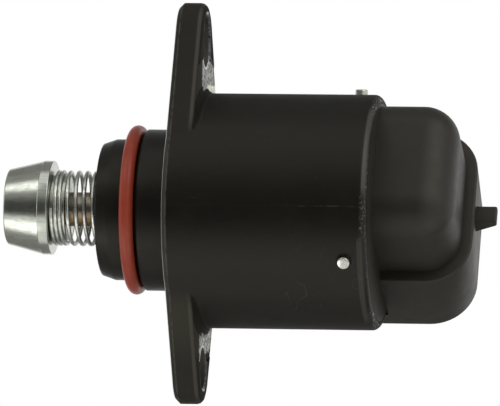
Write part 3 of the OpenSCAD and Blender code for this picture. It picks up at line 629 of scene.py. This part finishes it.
class VALVE_OT_stage(bpy.types.Operator):
    """Sets the floor, the white backdrop, the soft boxes, the grey cards and the camera"""

    bl_idname = "valve.stage"
    bl_label = "Stage"

    # Name, direction from the valve, width and height in metres, and share of the soft box level
    BOXES = (
        ("upper_left_box", (-0.509, -0.459, 0.728), 0.34, 0.16, 1.15),
        ("lower_left_box", (-0.535, -0.482, -0.695), 0.34, 0.22, 1.0),
        ("upper_right_box", (0.62, -0.36, 0.70), 0.46, 0.26, 1.25),
        ("lower_right_box", (0.545, -0.504, -0.670), 0.30, 0.24, 0.65),
    )
    # Name, direction from the valve, width and height in metres, and the colours of its two edges
    CARDS = (
        ("camera_card", (-0.360, -0.868, 0.342), 1.50, 1.20, "#4c4c4c", "#d8d8d8"),
        ("upper_card", (0.0, 0.574, 0.819), 2.4, 0.75, "#a8a8a8", "#a8a8a8"),
        ("lower_card", (0.0, 0.574, -0.819), 2.4, 0.75, "#a8a8a8", "#a8a8a8"),
        ("upper_left_card", (-0.62, 0.05, 0.78), 0.42, 0.42, "#b4b4b4", "#b4b4b4"),
        ("lower_left_card", (-0.62, 0.05, -0.78), 0.42, 0.42, "#b4b4b4", "#b4b4b4"),
    )
    BOX_DISTANCE, CARD_DISTANCE = 0.5, 0.7
    # Where a card's second colour starts and is full, in thousandths of its height from its middle
    GRADE = (-160, 300)
    # Half the floor's side, and how far the camera sees, in metres
    FLOOR_REACH, CLIP_END = 0.95, 10

    def execute(self, context):
        studio = context.scene.valve_studio
        self.floor(studio)
        self.world(studio)
        self.boxes(studio)
        self.cards(studio)
        self.camera(context, studio)
        context.scene.view_settings.view_transform = "Standard"
        return {"FINISHED"}

    def floor(self, studio):
        """Pale matt board under the valve. The lower boxes shine up through it, as through a light table,
        and reflections see the backdrop in its place."""
        shape = bmesh.new()
        bmesh.ops.create_grid(shape, x_segments=1, y_segments=1, size=self.FLOOR_REACH)
        material, tree, shader, place = start("matt_paper_board")
        # Uncoated white board: very rough, with faint fibres
        fibres = grain(tree, place, 1.5, 0.3, 0.7)
        connect(tree, shader, {
            "Base Color": tinted(tree, rgba("#f2f1ee"), (fibres, 1.0, rgba("#f6f5f2"))), "Roughness": 0.95,
        })
        floor = bmesh_object("floor", shape, material)
        floor.location = (0, 0, -studio.floor_drop)
        floor.visible_shadow = False
        floor.visible_glossy = False

    def world(self, studio):
        world = bpy.data.worlds.new("white_backdrop")
        bpy.context.scene.world = world
        world.use_nodes = True
        tree = world.node_tree
        path = node(tree, "LightPath", {}).node.outputs
        seen = any_of(tree, path["Is Camera Ray"], path["Is Glossy Ray"], path["Is Transmission Ray"])
        connect(tree, tree.nodes["Background"], {
            "Color": (1, 1, 1, 1), "Strength": node(tree, "MapRange", {0: seen, 3: studio.ambient, 4: 1.0}),
        })

    def boxes(self, studio):
        """Four soft boxes on both sides of the camera, above and below."""
        for name, way, wide, tall, share in self.BOXES:
            light = bpy.data.lights.new(name, "AREA")
            light.shape = "RECTANGLE"
            light.size, light.size_y = wide, tall
            light.energy = math.pi * wide * tall * studio.box_level * share
            lamp = bpy.data.objects.new(name, light)
            lamp.location = Vector(studio.aim) + Vector(way) * self.BOX_DISTANCE
            lamp.rotation_euler = (-Vector(way)).to_track_quat("-Z", "Y").to_euler()
            lamp.visible_camera = False
            bpy.context.scene.collection.objects.link(lamp)

    def cards(self, studio):
        """Grey cards that only reflections see. They give the black parts and the metal their dark tones."""
        for name, way, wide, tall, lower, upper in self.CARDS:
            material, tree, shader, place = start(name + "_paper")
            # Dyed paper, matt, graded from one edge to the other
            height = node(tree, "SeparateXYZ", {0: place}, out=1)
            grade = {0: height, 1: self.GRADE[0], 2: self.GRADE[1]}
            graded = node(tree, "MapRange", grade, interpolation_type="SMOOTHSTEP")
            connect(tree, shader, {
                "Base Color": tinted(tree, rgba(lower), (graded, 1.0, rgba(upper))),
                "Roughness": 1.0, "Specular IOR Level": 0.0,
            })
            # A square of one metre, scaled to the card's size
            shape = bmesh.new()
            bmesh.ops.create_grid(shape, x_segments=1, y_segments=1, size=0.5)
            card = bmesh_object(name, shape, material)
            card.location = Vector(studio.aim) + Vector(way) * self.CARD_DISTANCE
            card.rotation_euler = (-Vector(way)).to_track_quat("-Z", "Y").to_euler()
            card.scale = (wide, tall, 1)
            for ray in ("camera", "diffuse", "transmission", "shadow", "volume_scatter"):
                setattr(card, "visible_" + ray, False)

    def camera(self, context, studio):
        lens = bpy.data.cameras.new("camera")
        lens.sensor_width = SENSOR
        lens.lens = SENSOR * studio.distance / (VIEW_WIDTH * MM)
        lens.clip_end = self.CLIP_END
        camera = bpy.data.objects.new("camera", lens)
        turn, roll = studio.azimuth, studio.roll
        right = Vector((math.cos(turn), math.sin(turn), 0))
        up = Vector((0, 0, 1))
        back = right.cross(up)
        tilted = right * math.cos(roll) + up * math.sin(roll)
        upright = up * math.cos(roll) - right * math.sin(roll)
        basis = Matrix((tilted, upright, back)).transposed().to_4x4()
        basis.translation = Vector(studio.aim) + back * studio.distance
        camera.matrix_world = basis
        context.scene.collection.objects.link(camera)
        context.scene.camera = camera


class VALVE_OT_housing(bpy.types.Operator):
    """Coats the casting in black, with its machined faces bare"""

    bl_idname = "valve.housing"
    bl_label = "Housing"

    def execute(self, context):
        finish_node("housing", coated_casting(context.scene.valve_colours))
        return {"FINISHED"}


class VALVE_OT_seal_rings(bpy.types.Operator):
    """Finishes the rubber ring on the spigot and the ring behind the cap"""

    bl_idname = "valve.seal_rings"
    bl_label = "Seal rings"

    def execute(self, context):
        colour = (*context.scene.valve_colours.ring, 1)
        red = moulded_rubber("brown_red_silicone_rubber", colour, rgba("#8c3824"), 0.36, 0.28)
        black = moulded_rubber("black_nitrile_rubber", rgba("#121212"), rgba("#1c1c1b"), 0.5, 0.5)
        finish_node("seal_ring", red)
        finish_node("cap_seal", black)
        return {"FINISHED"}


class VALVE_OT_pintle(bpy.types.Operator):
    """Turns the pintle's head with softened edges, and finishes the lead screw"""

    bl_idname = "valve.pintle"
    bl_label = "Pintle"

    # The head's sizes in millimetres: radii, then lengths, then roundings. The land is the short
    # cylinder behind the cone, and the burr is the small step between them, along the axis and outwards.
    FRONT_R, HUB_R, BORE_R = 4.9, 4.275, 1.72
    HUB_LEN, LAND, BORE_LEN = 2.08, 1.29, 4.2
    FRONT_ROUND, SOFT, HUB_ROUND, BURR = 0.35, 0.12, 0.25, (0.08, 0.05)

    def execute(self, context):
        low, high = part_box("pintle")
        tilt = context.scene.valve_sizes.lean
        # The leaning head's front edge stays in the solid's box
        front = low.x / MM + self.FRONT_R * math.sin(tilt)
        rear, widest = high.x / MM, high.z / MM
        head_rear = rear - self.HUB_LEN
        land_x = head_rear - self.LAND
        cone = math.degrees(math.atan2(widest - self.FRONT_R, land_x - front))
        profile = [(front, 0), (front, self.FRONT_R - self.FRONT_ROUND)]
        profile += arc(
            front + self.FRONT_ROUND, self.FRONT_R - self.FRONT_ROUND, self.FRONT_ROUND, 180, 90 + cone,
        )
        profile += [(land_x, widest - self.BURR[1]), (land_x + self.BURR[0], widest)]
        profile += arc(head_rear - self.SOFT, widest - self.SOFT, self.SOFT, 90, 0)
        profile += [(head_rear, self.HUB_R + self.SOFT), (head_rear + self.SOFT, self.HUB_R)]
        profile += arc(rear - self.HUB_ROUND, self.HUB_R - self.HUB_ROUND, self.HUB_ROUND, 90, 0)
        profile += [(rear, self.BORE_R), (rear - self.BORE_LEN, self.BORE_R), (rear - self.BORE_LEN, 0)]
        aluminium = turned_aluminium(context.scene.valve_colours)
        # The cone and the land beside it meet at a flat angle, and still show as an edge
        head = lathe("pintle_head", profile, aluminium, steps=192, smooth_angle=9)
        # The head stands a little high in the photograph, because it leans on its spring
        seat = Vector((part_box("pintle_spring")[1].x, 0, 0))
        lean = Matrix.Rotation(tilt, 4, "Y")
        head.data.transform(Matrix.Translation(seat) @ lean @ Matrix.Translation(-seat))
        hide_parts("pintle")
        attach(head, "valve_pintle")
        finish_node("lead_screw", browner_below_steel())
        return {"FINISHED"}


class VALVE_OT_spring(bpy.types.Operator):
    """Winds the pintle spring from round wire, in the place of its faceted solid"""

    bl_idname = "valve.spring"
    bl_label = "Pintle spring"

    # Gap between closed turns in millimetres, steps in a turn and points around the wire
    CLOSED_GAP, PER_TURN, SIDES = 0.015, 56, 14

    def execute(self, context):
        sizes = context.scene.valve_sizes
        low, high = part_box("pintle_spring")
        wire = sizes.wire / 2
        coil = high.z - wire
        closed = sizes.wire + self.CLOSED_GAP * MM
        turns = sizes.closed_head + sizes.open_turns + sizes.closed_seat
        length = high.x - low.x
        opened = (length - sizes.wire - (sizes.closed_head + sizes.closed_seat) * closed) / sizes.open_turns
        count, sides = math.ceil(turns * self.PER_TURN), self.SIDES
        shape = bmesh.new()
        rings = []
        for i in range(count + 1):
            n = turns * i / count
            open_part = min(max(n - sizes.closed_head, 0), sizes.open_turns)
            x = low.x + wire + (n - open_part) * closed + open_part * opened
            # The coils lean with the head
            rise = (high.x - x) * math.tan(sizes.lean)
            turn = math.pi + 2 * math.pi * n
            ring = []
            for j in range(sides):
                a = 2 * math.pi * j / sides
                r = coil + wire * math.cos(a)
                at = (x + wire * math.sin(a), r * math.cos(turn), r * math.sin(turn) + rise)
                ring.append(shape.verts.new(at))
            rings.append(ring)
        for a, b in zip(rings, rings[1:]):
            for j in range(sides):
                k = (j + 1) % sides
                shape.faces.new((a[j], a[k], b[k], b[j]))
        shape.faces.new(rings[0])
        shape.faces.new(rings[-1])
        steel = worked_metal("drawn_spring_steel", rgba("#d6d8d0"), rgba("#aaaba4"), 0.30, size=0.5)
        piece = bmesh_object("spring_coils", shape, steel, smooth_angle=50)
        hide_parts("pintle_spring")
        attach(piece, "valve_body")
        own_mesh(piece)
        return {"FINISHED"}


class VALVE_OT_cap(bpy.types.Operator):
    """Moulds the connector cap: plug, closed back, shroud with its socket, and lock tab"""

    bl_idname = "valve.cap"
    bl_label = "Connector cap"

    # Sizes in millimetres: x along the valve, u out of the socket, t across it. They are the solid's, but
    # the plug runs on from the solid's floor at FLOOR_X to FLANGE_X, flush with the can's mouth.
    PLUG_R, CAN_R = 13.88, 15.2
    FLOOR_X, FLANGE_X, RIM_X = 24.7, 26.2, 26.25
    BACK_X, BACK_U, BACK_T, BACK_ROUND = 36.3, (-9.17, 4.1), (-6.5, 12.35), 4.6
    SHROUD_X, SHROUD_U, SHROUD_T, SHROUD_ROUND = (24.4, 37.7), (3.6, 15.6), (-8.0, 13.85), 5.8
    SOCKET_X, SOCKET_U, WALL = (28.05, 35.7), 5.6, 1.45
    TAB_U, TAB_T, TAB_X, TAB_ROUND = (5.6, 6.6, 8.6), (1.725, 4.125), 40.3, 0.24
    DRAFT = math.tan(math.radians(2.6))
    # How far pieces run into each other before they are joined, and steps in a large rounding
    SUNK, STEPS = 0.5, 14

    def execute(self, context):
        sizes = context.scene.valve_sizes
        plastic = moulded_nylon(context.scene.valve_colours)
        edge = sizes.edge / MM
        around = Matrix.Rotation(-sizes.cap_turn, 4, "X")
        parts = {
            "closed_back": self.closed_back(), "shroud": self.shroud(edge), "socket": self.socket(edge),
            "lock_tab": self.lock_tab(),
        }
        for name, shape in parts.items():
            bmesh.ops.transform(shape, matrix=around, verts=shape.verts)
            parts[name] = bmesh_object(name, shape)
        body = combined(parts["closed_back"], "UNION", [parts["shroud"], parts["lock_tab"]])
        # Room for the can's wall and rim between the plug and the shroud's overhang
        before, inner_r = self.SHROUD_X[0] - 1, self.PLUG_R - 0.04
        room = [(before, inner_r), (self.RIM_X, inner_r), (self.RIM_X, self.CAN_R), (before, self.CAN_R)]
        body = combined(body, "DIFFERENCE", [parts["socket"], lathe("room", room, closed=True)])
        cap = combined(self.plug(), "UNION", [body])
        cap.name = "cap_moulding"
        finish_mesh(cap.data, plastic, 35)
        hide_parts("connector_cap")
        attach(cap, "valve_body")
        return {"FINISHED"}

    def closed_back(self):
        """The bulge behind the plug, rounded all over its far side."""
        (low_u, high_u), (low_t, high_t) = self.BACK_U, self.BACK_T
        shape = box_mesh((self.FLOOR_X - self.SUNK, low_u, low_t), (self.BACK_X, high_u, high_t))

        def outer(edge):
            side = both_at(edge, 1, low_u) and (both_at(edge, 2, low_t) or both_at(edge, 2, high_t))
            return side or both_at(edge, 0, self.BACK_X) and not both_at(edge, 1, high_u)

        round_edges(shape, outer, self.BACK_ROUND, self.STEPS)
        return shape

    def shroud(self, edge):
        """The socket's outside, which narrows towards the mouth."""
        (near_x, far_x), (back_u, mouth_u) = self.SHROUD_X, self.SHROUD_U
        shape = box_mesh((near_x, back_u, self.SHROUD_T[0]), (far_x, mouth_u, self.SHROUD_T[1]))
        for v in shape.verts:
            if v.co.x > near_x * MM + TOUCH and v.co.y > back_u * MM + TOUCH:
                v.co.x -= (mouth_u - back_u) * MM * self.DRAFT

        def outer(edge):
            return all(v.co.x > (near_x + 1) * MM for v in edge.verts) and runs_along(edge, 1)

        round_edges(shape, outer, self.SHROUD_ROUND, self.STEPS)
        round_edges(shape, lambda e: is_sharp(e) and not both_at(e, 0, near_x), edge, 3)
        return shape

    def socket(self, edge):
        """What is cut out of the shroud, flared at the mouth."""
        inner_t = (self.SHROUD_T[0] + self.WALL, self.SHROUD_T[1] - self.WALL)
        (near_x, far_x), mouth_u = self.SOCKET_X, self.SHROUD_U[1]
        shape = box_mesh((near_x, self.SOCKET_U, inner_t[0]), (far_x, mouth_u + 1, inner_t[1]))
        inner_round = self.SHROUD_ROUND - self.WALL
        round_edges(shape, lambda e: both_at(e, 0, far_x) and runs_along(e, 1), inner_round, self.STEPS)
        bmesh.ops.bisect_plane(
            shape, geom=shape.verts[:] + shape.edges[:] + shape.faces[:],
            plane_co=(0, (mouth_u - edge) * MM, 0), plane_no=(0, 1, 0),
        )
        middle = Vector(((near_x + far_x) / 2, 0, sum(inner_t) / 2)) * MM
        grown = 1 + 2 * (1 + edge) / (far_x - near_x)
        for v in shape.verts:
            if v.co.y > mouth_u * MM:
                v.co.x = middle.x + (v.co.x - middle.x) * grown
                v.co.z = middle.z + (v.co.z - middle.z) * grown
        return shape

    def lock_tab(self):
        """The ramp that the plug's latch snaps over: upright in front and sloping to the mouth."""
        foot = self.SHROUD_X[1] - self.WALL / 2
        front_u, top_u, mouth_u = self.TAB_U
        shape = box_mesh((foot, front_u, self.TAB_T[0]), (self.TAB_X, mouth_u, self.TAB_T[1]))
        for v in shape.verts:
            if v.co.x > self.TAB_X * MM - TOUCH and v.co.y > top_u * MM:
                v.co.y = top_u * MM
        round_edges(shape, lambda e: is_sharp(e, 20) and not both_at(e, 0, foot), self.TAB_ROUND, 4)
        return shape

    def plug(self):
        """The turned end that fits the can, with its seal groove and the seat of the rear bush."""
        front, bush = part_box("connector_cap")[0].x / MM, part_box("rear_bush")[1]
        # The seat leaves the bush a little room behind and around it
        seat_x, seat_r = bush.x / MM + 0.05, bush.z / MM + 0.02
        foot, rim_r, lead = 0.48, 12.55, 0.3
        (groove_from, groove_to), groove_r = (20.95, 22.15), 13.08
        return lathe("plug", [
            (seat_x, 0), (seat_x, seat_r), (front + foot, seat_r), (front + foot, rim_r), (front, rim_r),
            (front, self.PLUG_R - lead), (front + lead, self.PLUG_R), (groove_from, self.PLUG_R),
            (groove_from, groove_r), (groove_to, groove_r), (groove_to, self.PLUG_R),
            (self.FLANGE_X, self.PLUG_R), (self.FLANGE_X, 0),
        ])


class VALVE_OT_pins(bpy.types.Operator):
    """Turns the three bright pins that hold the cap"""

    bl_idname = "valve.pins"
    bl_label = "Retaining pins"

    # Place along the valve, radius, distance of the outer end from the axis, and length, in millimetres
    X, RADIUS, TIP, LENGTH = 23.3, 0.8, 15.81, 4.2
    # Height of the end's dome, radius of its edge, and a point of the dome as shares of both
    DOME, SOFT, POINT = 0.05, 0.15, (0.4, 0.45)
    # Where they stand around the valve, in degrees upwards from the side away from the socket
    ANGLES = (-24.3, 95.7, 215.7)

    def execute(self, context):
        steel = worked_metal("bright_ground_steel", rgba("#cfcec6"), rgba("#9b9a92"), 0.24, size=0.5)
        profile = [(self.TIP - self.LENGTH, 0), (self.TIP - self.LENGTH, self.RADIUS)]
        profile += arc(self.TIP - self.DOME - self.SOFT, self.RADIUS - self.SOFT, self.SOFT, 90, 12, 5)
        profile += [(self.TIP - self.DOME * self.POINT[0], self.RADIUS * self.POINT[1]), (self.TIP, 0)]
        for number, angle in enumerate(self.ANGLES, 1):
            pin = lathe(f"retaining_pin_{number}", profile, steel, steps=48)
            way = Vector((0, -math.cos(math.radians(angle)), math.sin(math.radians(angle))))
            turn = Vector((1, 0, 0)).rotation_difference(way).to_matrix().to_4x4()
            pin.data.transform(Matrix.Translation((self.X * MM, 0, 0)) @ turn)
            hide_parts("retaining_pins")
            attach(pin, "valve_body")
        return {"FINISHED"}


class VALVE_OT_inside(bpy.types.Operator):
    """Finishes the bearing, the stator, the rotor, the bushes and the terminals"""

    bl_idname = "valve.inside"
    bl_label = "Inner pieces"

    def execute(self, context):
        finishes = {
            worked_metal("ground_bearing_steel", rgba("#c6c9cc"), rgba("#9da0a4"), 0.16, size=0.4):
                ("bearing_outer_race", "bearing_inner_race", "bearing_balls"),
            worked_metal("pressed_brass", rgba("#b8944e"), rgba("#8f7038"), 0.3): ("bearing_cage",),
            worked_metal("sintered_bronze", rgba("#9a7a48"), rgba("#6d5530"), 0.45, size=0.15, depth=0.01):
                ("guide_bush", "rear_bush"),
            worked_metal("blackened_spring_steel", rgba("#3c3d40"), rgba("#28292b"), 0.35): ("bearing_clip",),
            worked_metal("zinc_plated_steel", rgba("#aeb2b3"), rgba("#868a8c"), 0.34, size=0.8):
                ("front_cup", "front_pole_plate", "rear_pole_plate", "rear_cup", "thrust_washer"),
            worked_metal("tinned_bronze", rgba("#c9c6bb"), rgba("#a09c90"), 0.3, stretch=(1, 1, 0.2)):
                ("terminal_1", "terminal_2", "terminal_3", "terminal_4"),
            plain_moulding("natural_nylon", rgba("#d8ceb0"), rgba("#e2dabf"), 0.45):
                ("front_bobbin", "rear_bobbin"),
            plain_moulding("filled_rotor_plastic", rgba("#2d2a28"), rgba("#3a3633"), 0.5): ("rotor_nut",),
            worked_metal("ground_ferrite", rgba("#3a3a3d"), rgba("#28282b"), 0.55, size=0.2, depth=0.008):
                ("rotor_magnet",),
            wound_copper(): ("front_winding", "rear_winding"),
        }
        for material, names in finishes.items():
            for name in names:
                finish_node(name, material)
        return {"FINISHED"}


OPERATORS = (
    VALVE_OT_stage, VALVE_OT_housing, VALVE_OT_seal_rings, VALVE_OT_pintle,
    VALVE_OT_spring, VALVE_OT_cap, VALVE_OT_pins, VALVE_OT_inside,
)


class VALVE_PT_panel(bpy.types.Panel):
    """Lists the steps that dress the valve"""

    bl_idname = "VALVE_PT_panel"
    bl_label = "Idle air control valve"
    bl_space_type = "VIEW_3D"
    bl_region_type = "UI"
    bl_category = "Valve"

    def draw(self, context):
        for operator in OPERATORS:
            self.layout.operator(operator.bl_idname)
        for group, _ in GROUPS:
            settings = getattr(context.scene, group)
            for name in settings.__annotations__:
                self.layout.prop(settings, name)


GROUPS = (("valve_studio", ValveStudio), ("valve_sizes", ValveSizes), ("valve_colours", ValveColours))
CLASSES = (*(group for _, group in GROUPS), *OPERATORS, VALVE_PT_panel)


def register():
    for item in CLASSES:
        bpy.utils.register_class(item)
    for name, group in GROUPS:
        setattr(bpy.types.Scene, name, bpy.props.PointerProperty(type=group))


def unregister():
    for name, _ in GROUPS:
        delattr(bpy.types.Scene, name)
    for item in reversed(CLASSES):
        bpy.utils.unregister_class(item)


def main():
    register()
    bpy.ops.valve.stage()
    bpy.ops.valve.housing()
    bpy.ops.valve.seal_rings()
    bpy.ops.valve.pintle()
    bpy.ops.valve.spring()
    bpy.ops.valve.cap()
    bpy.ops.valve.pins()
    bpy.ops.valve.inside()


if __name__ == "__main__":
    main()
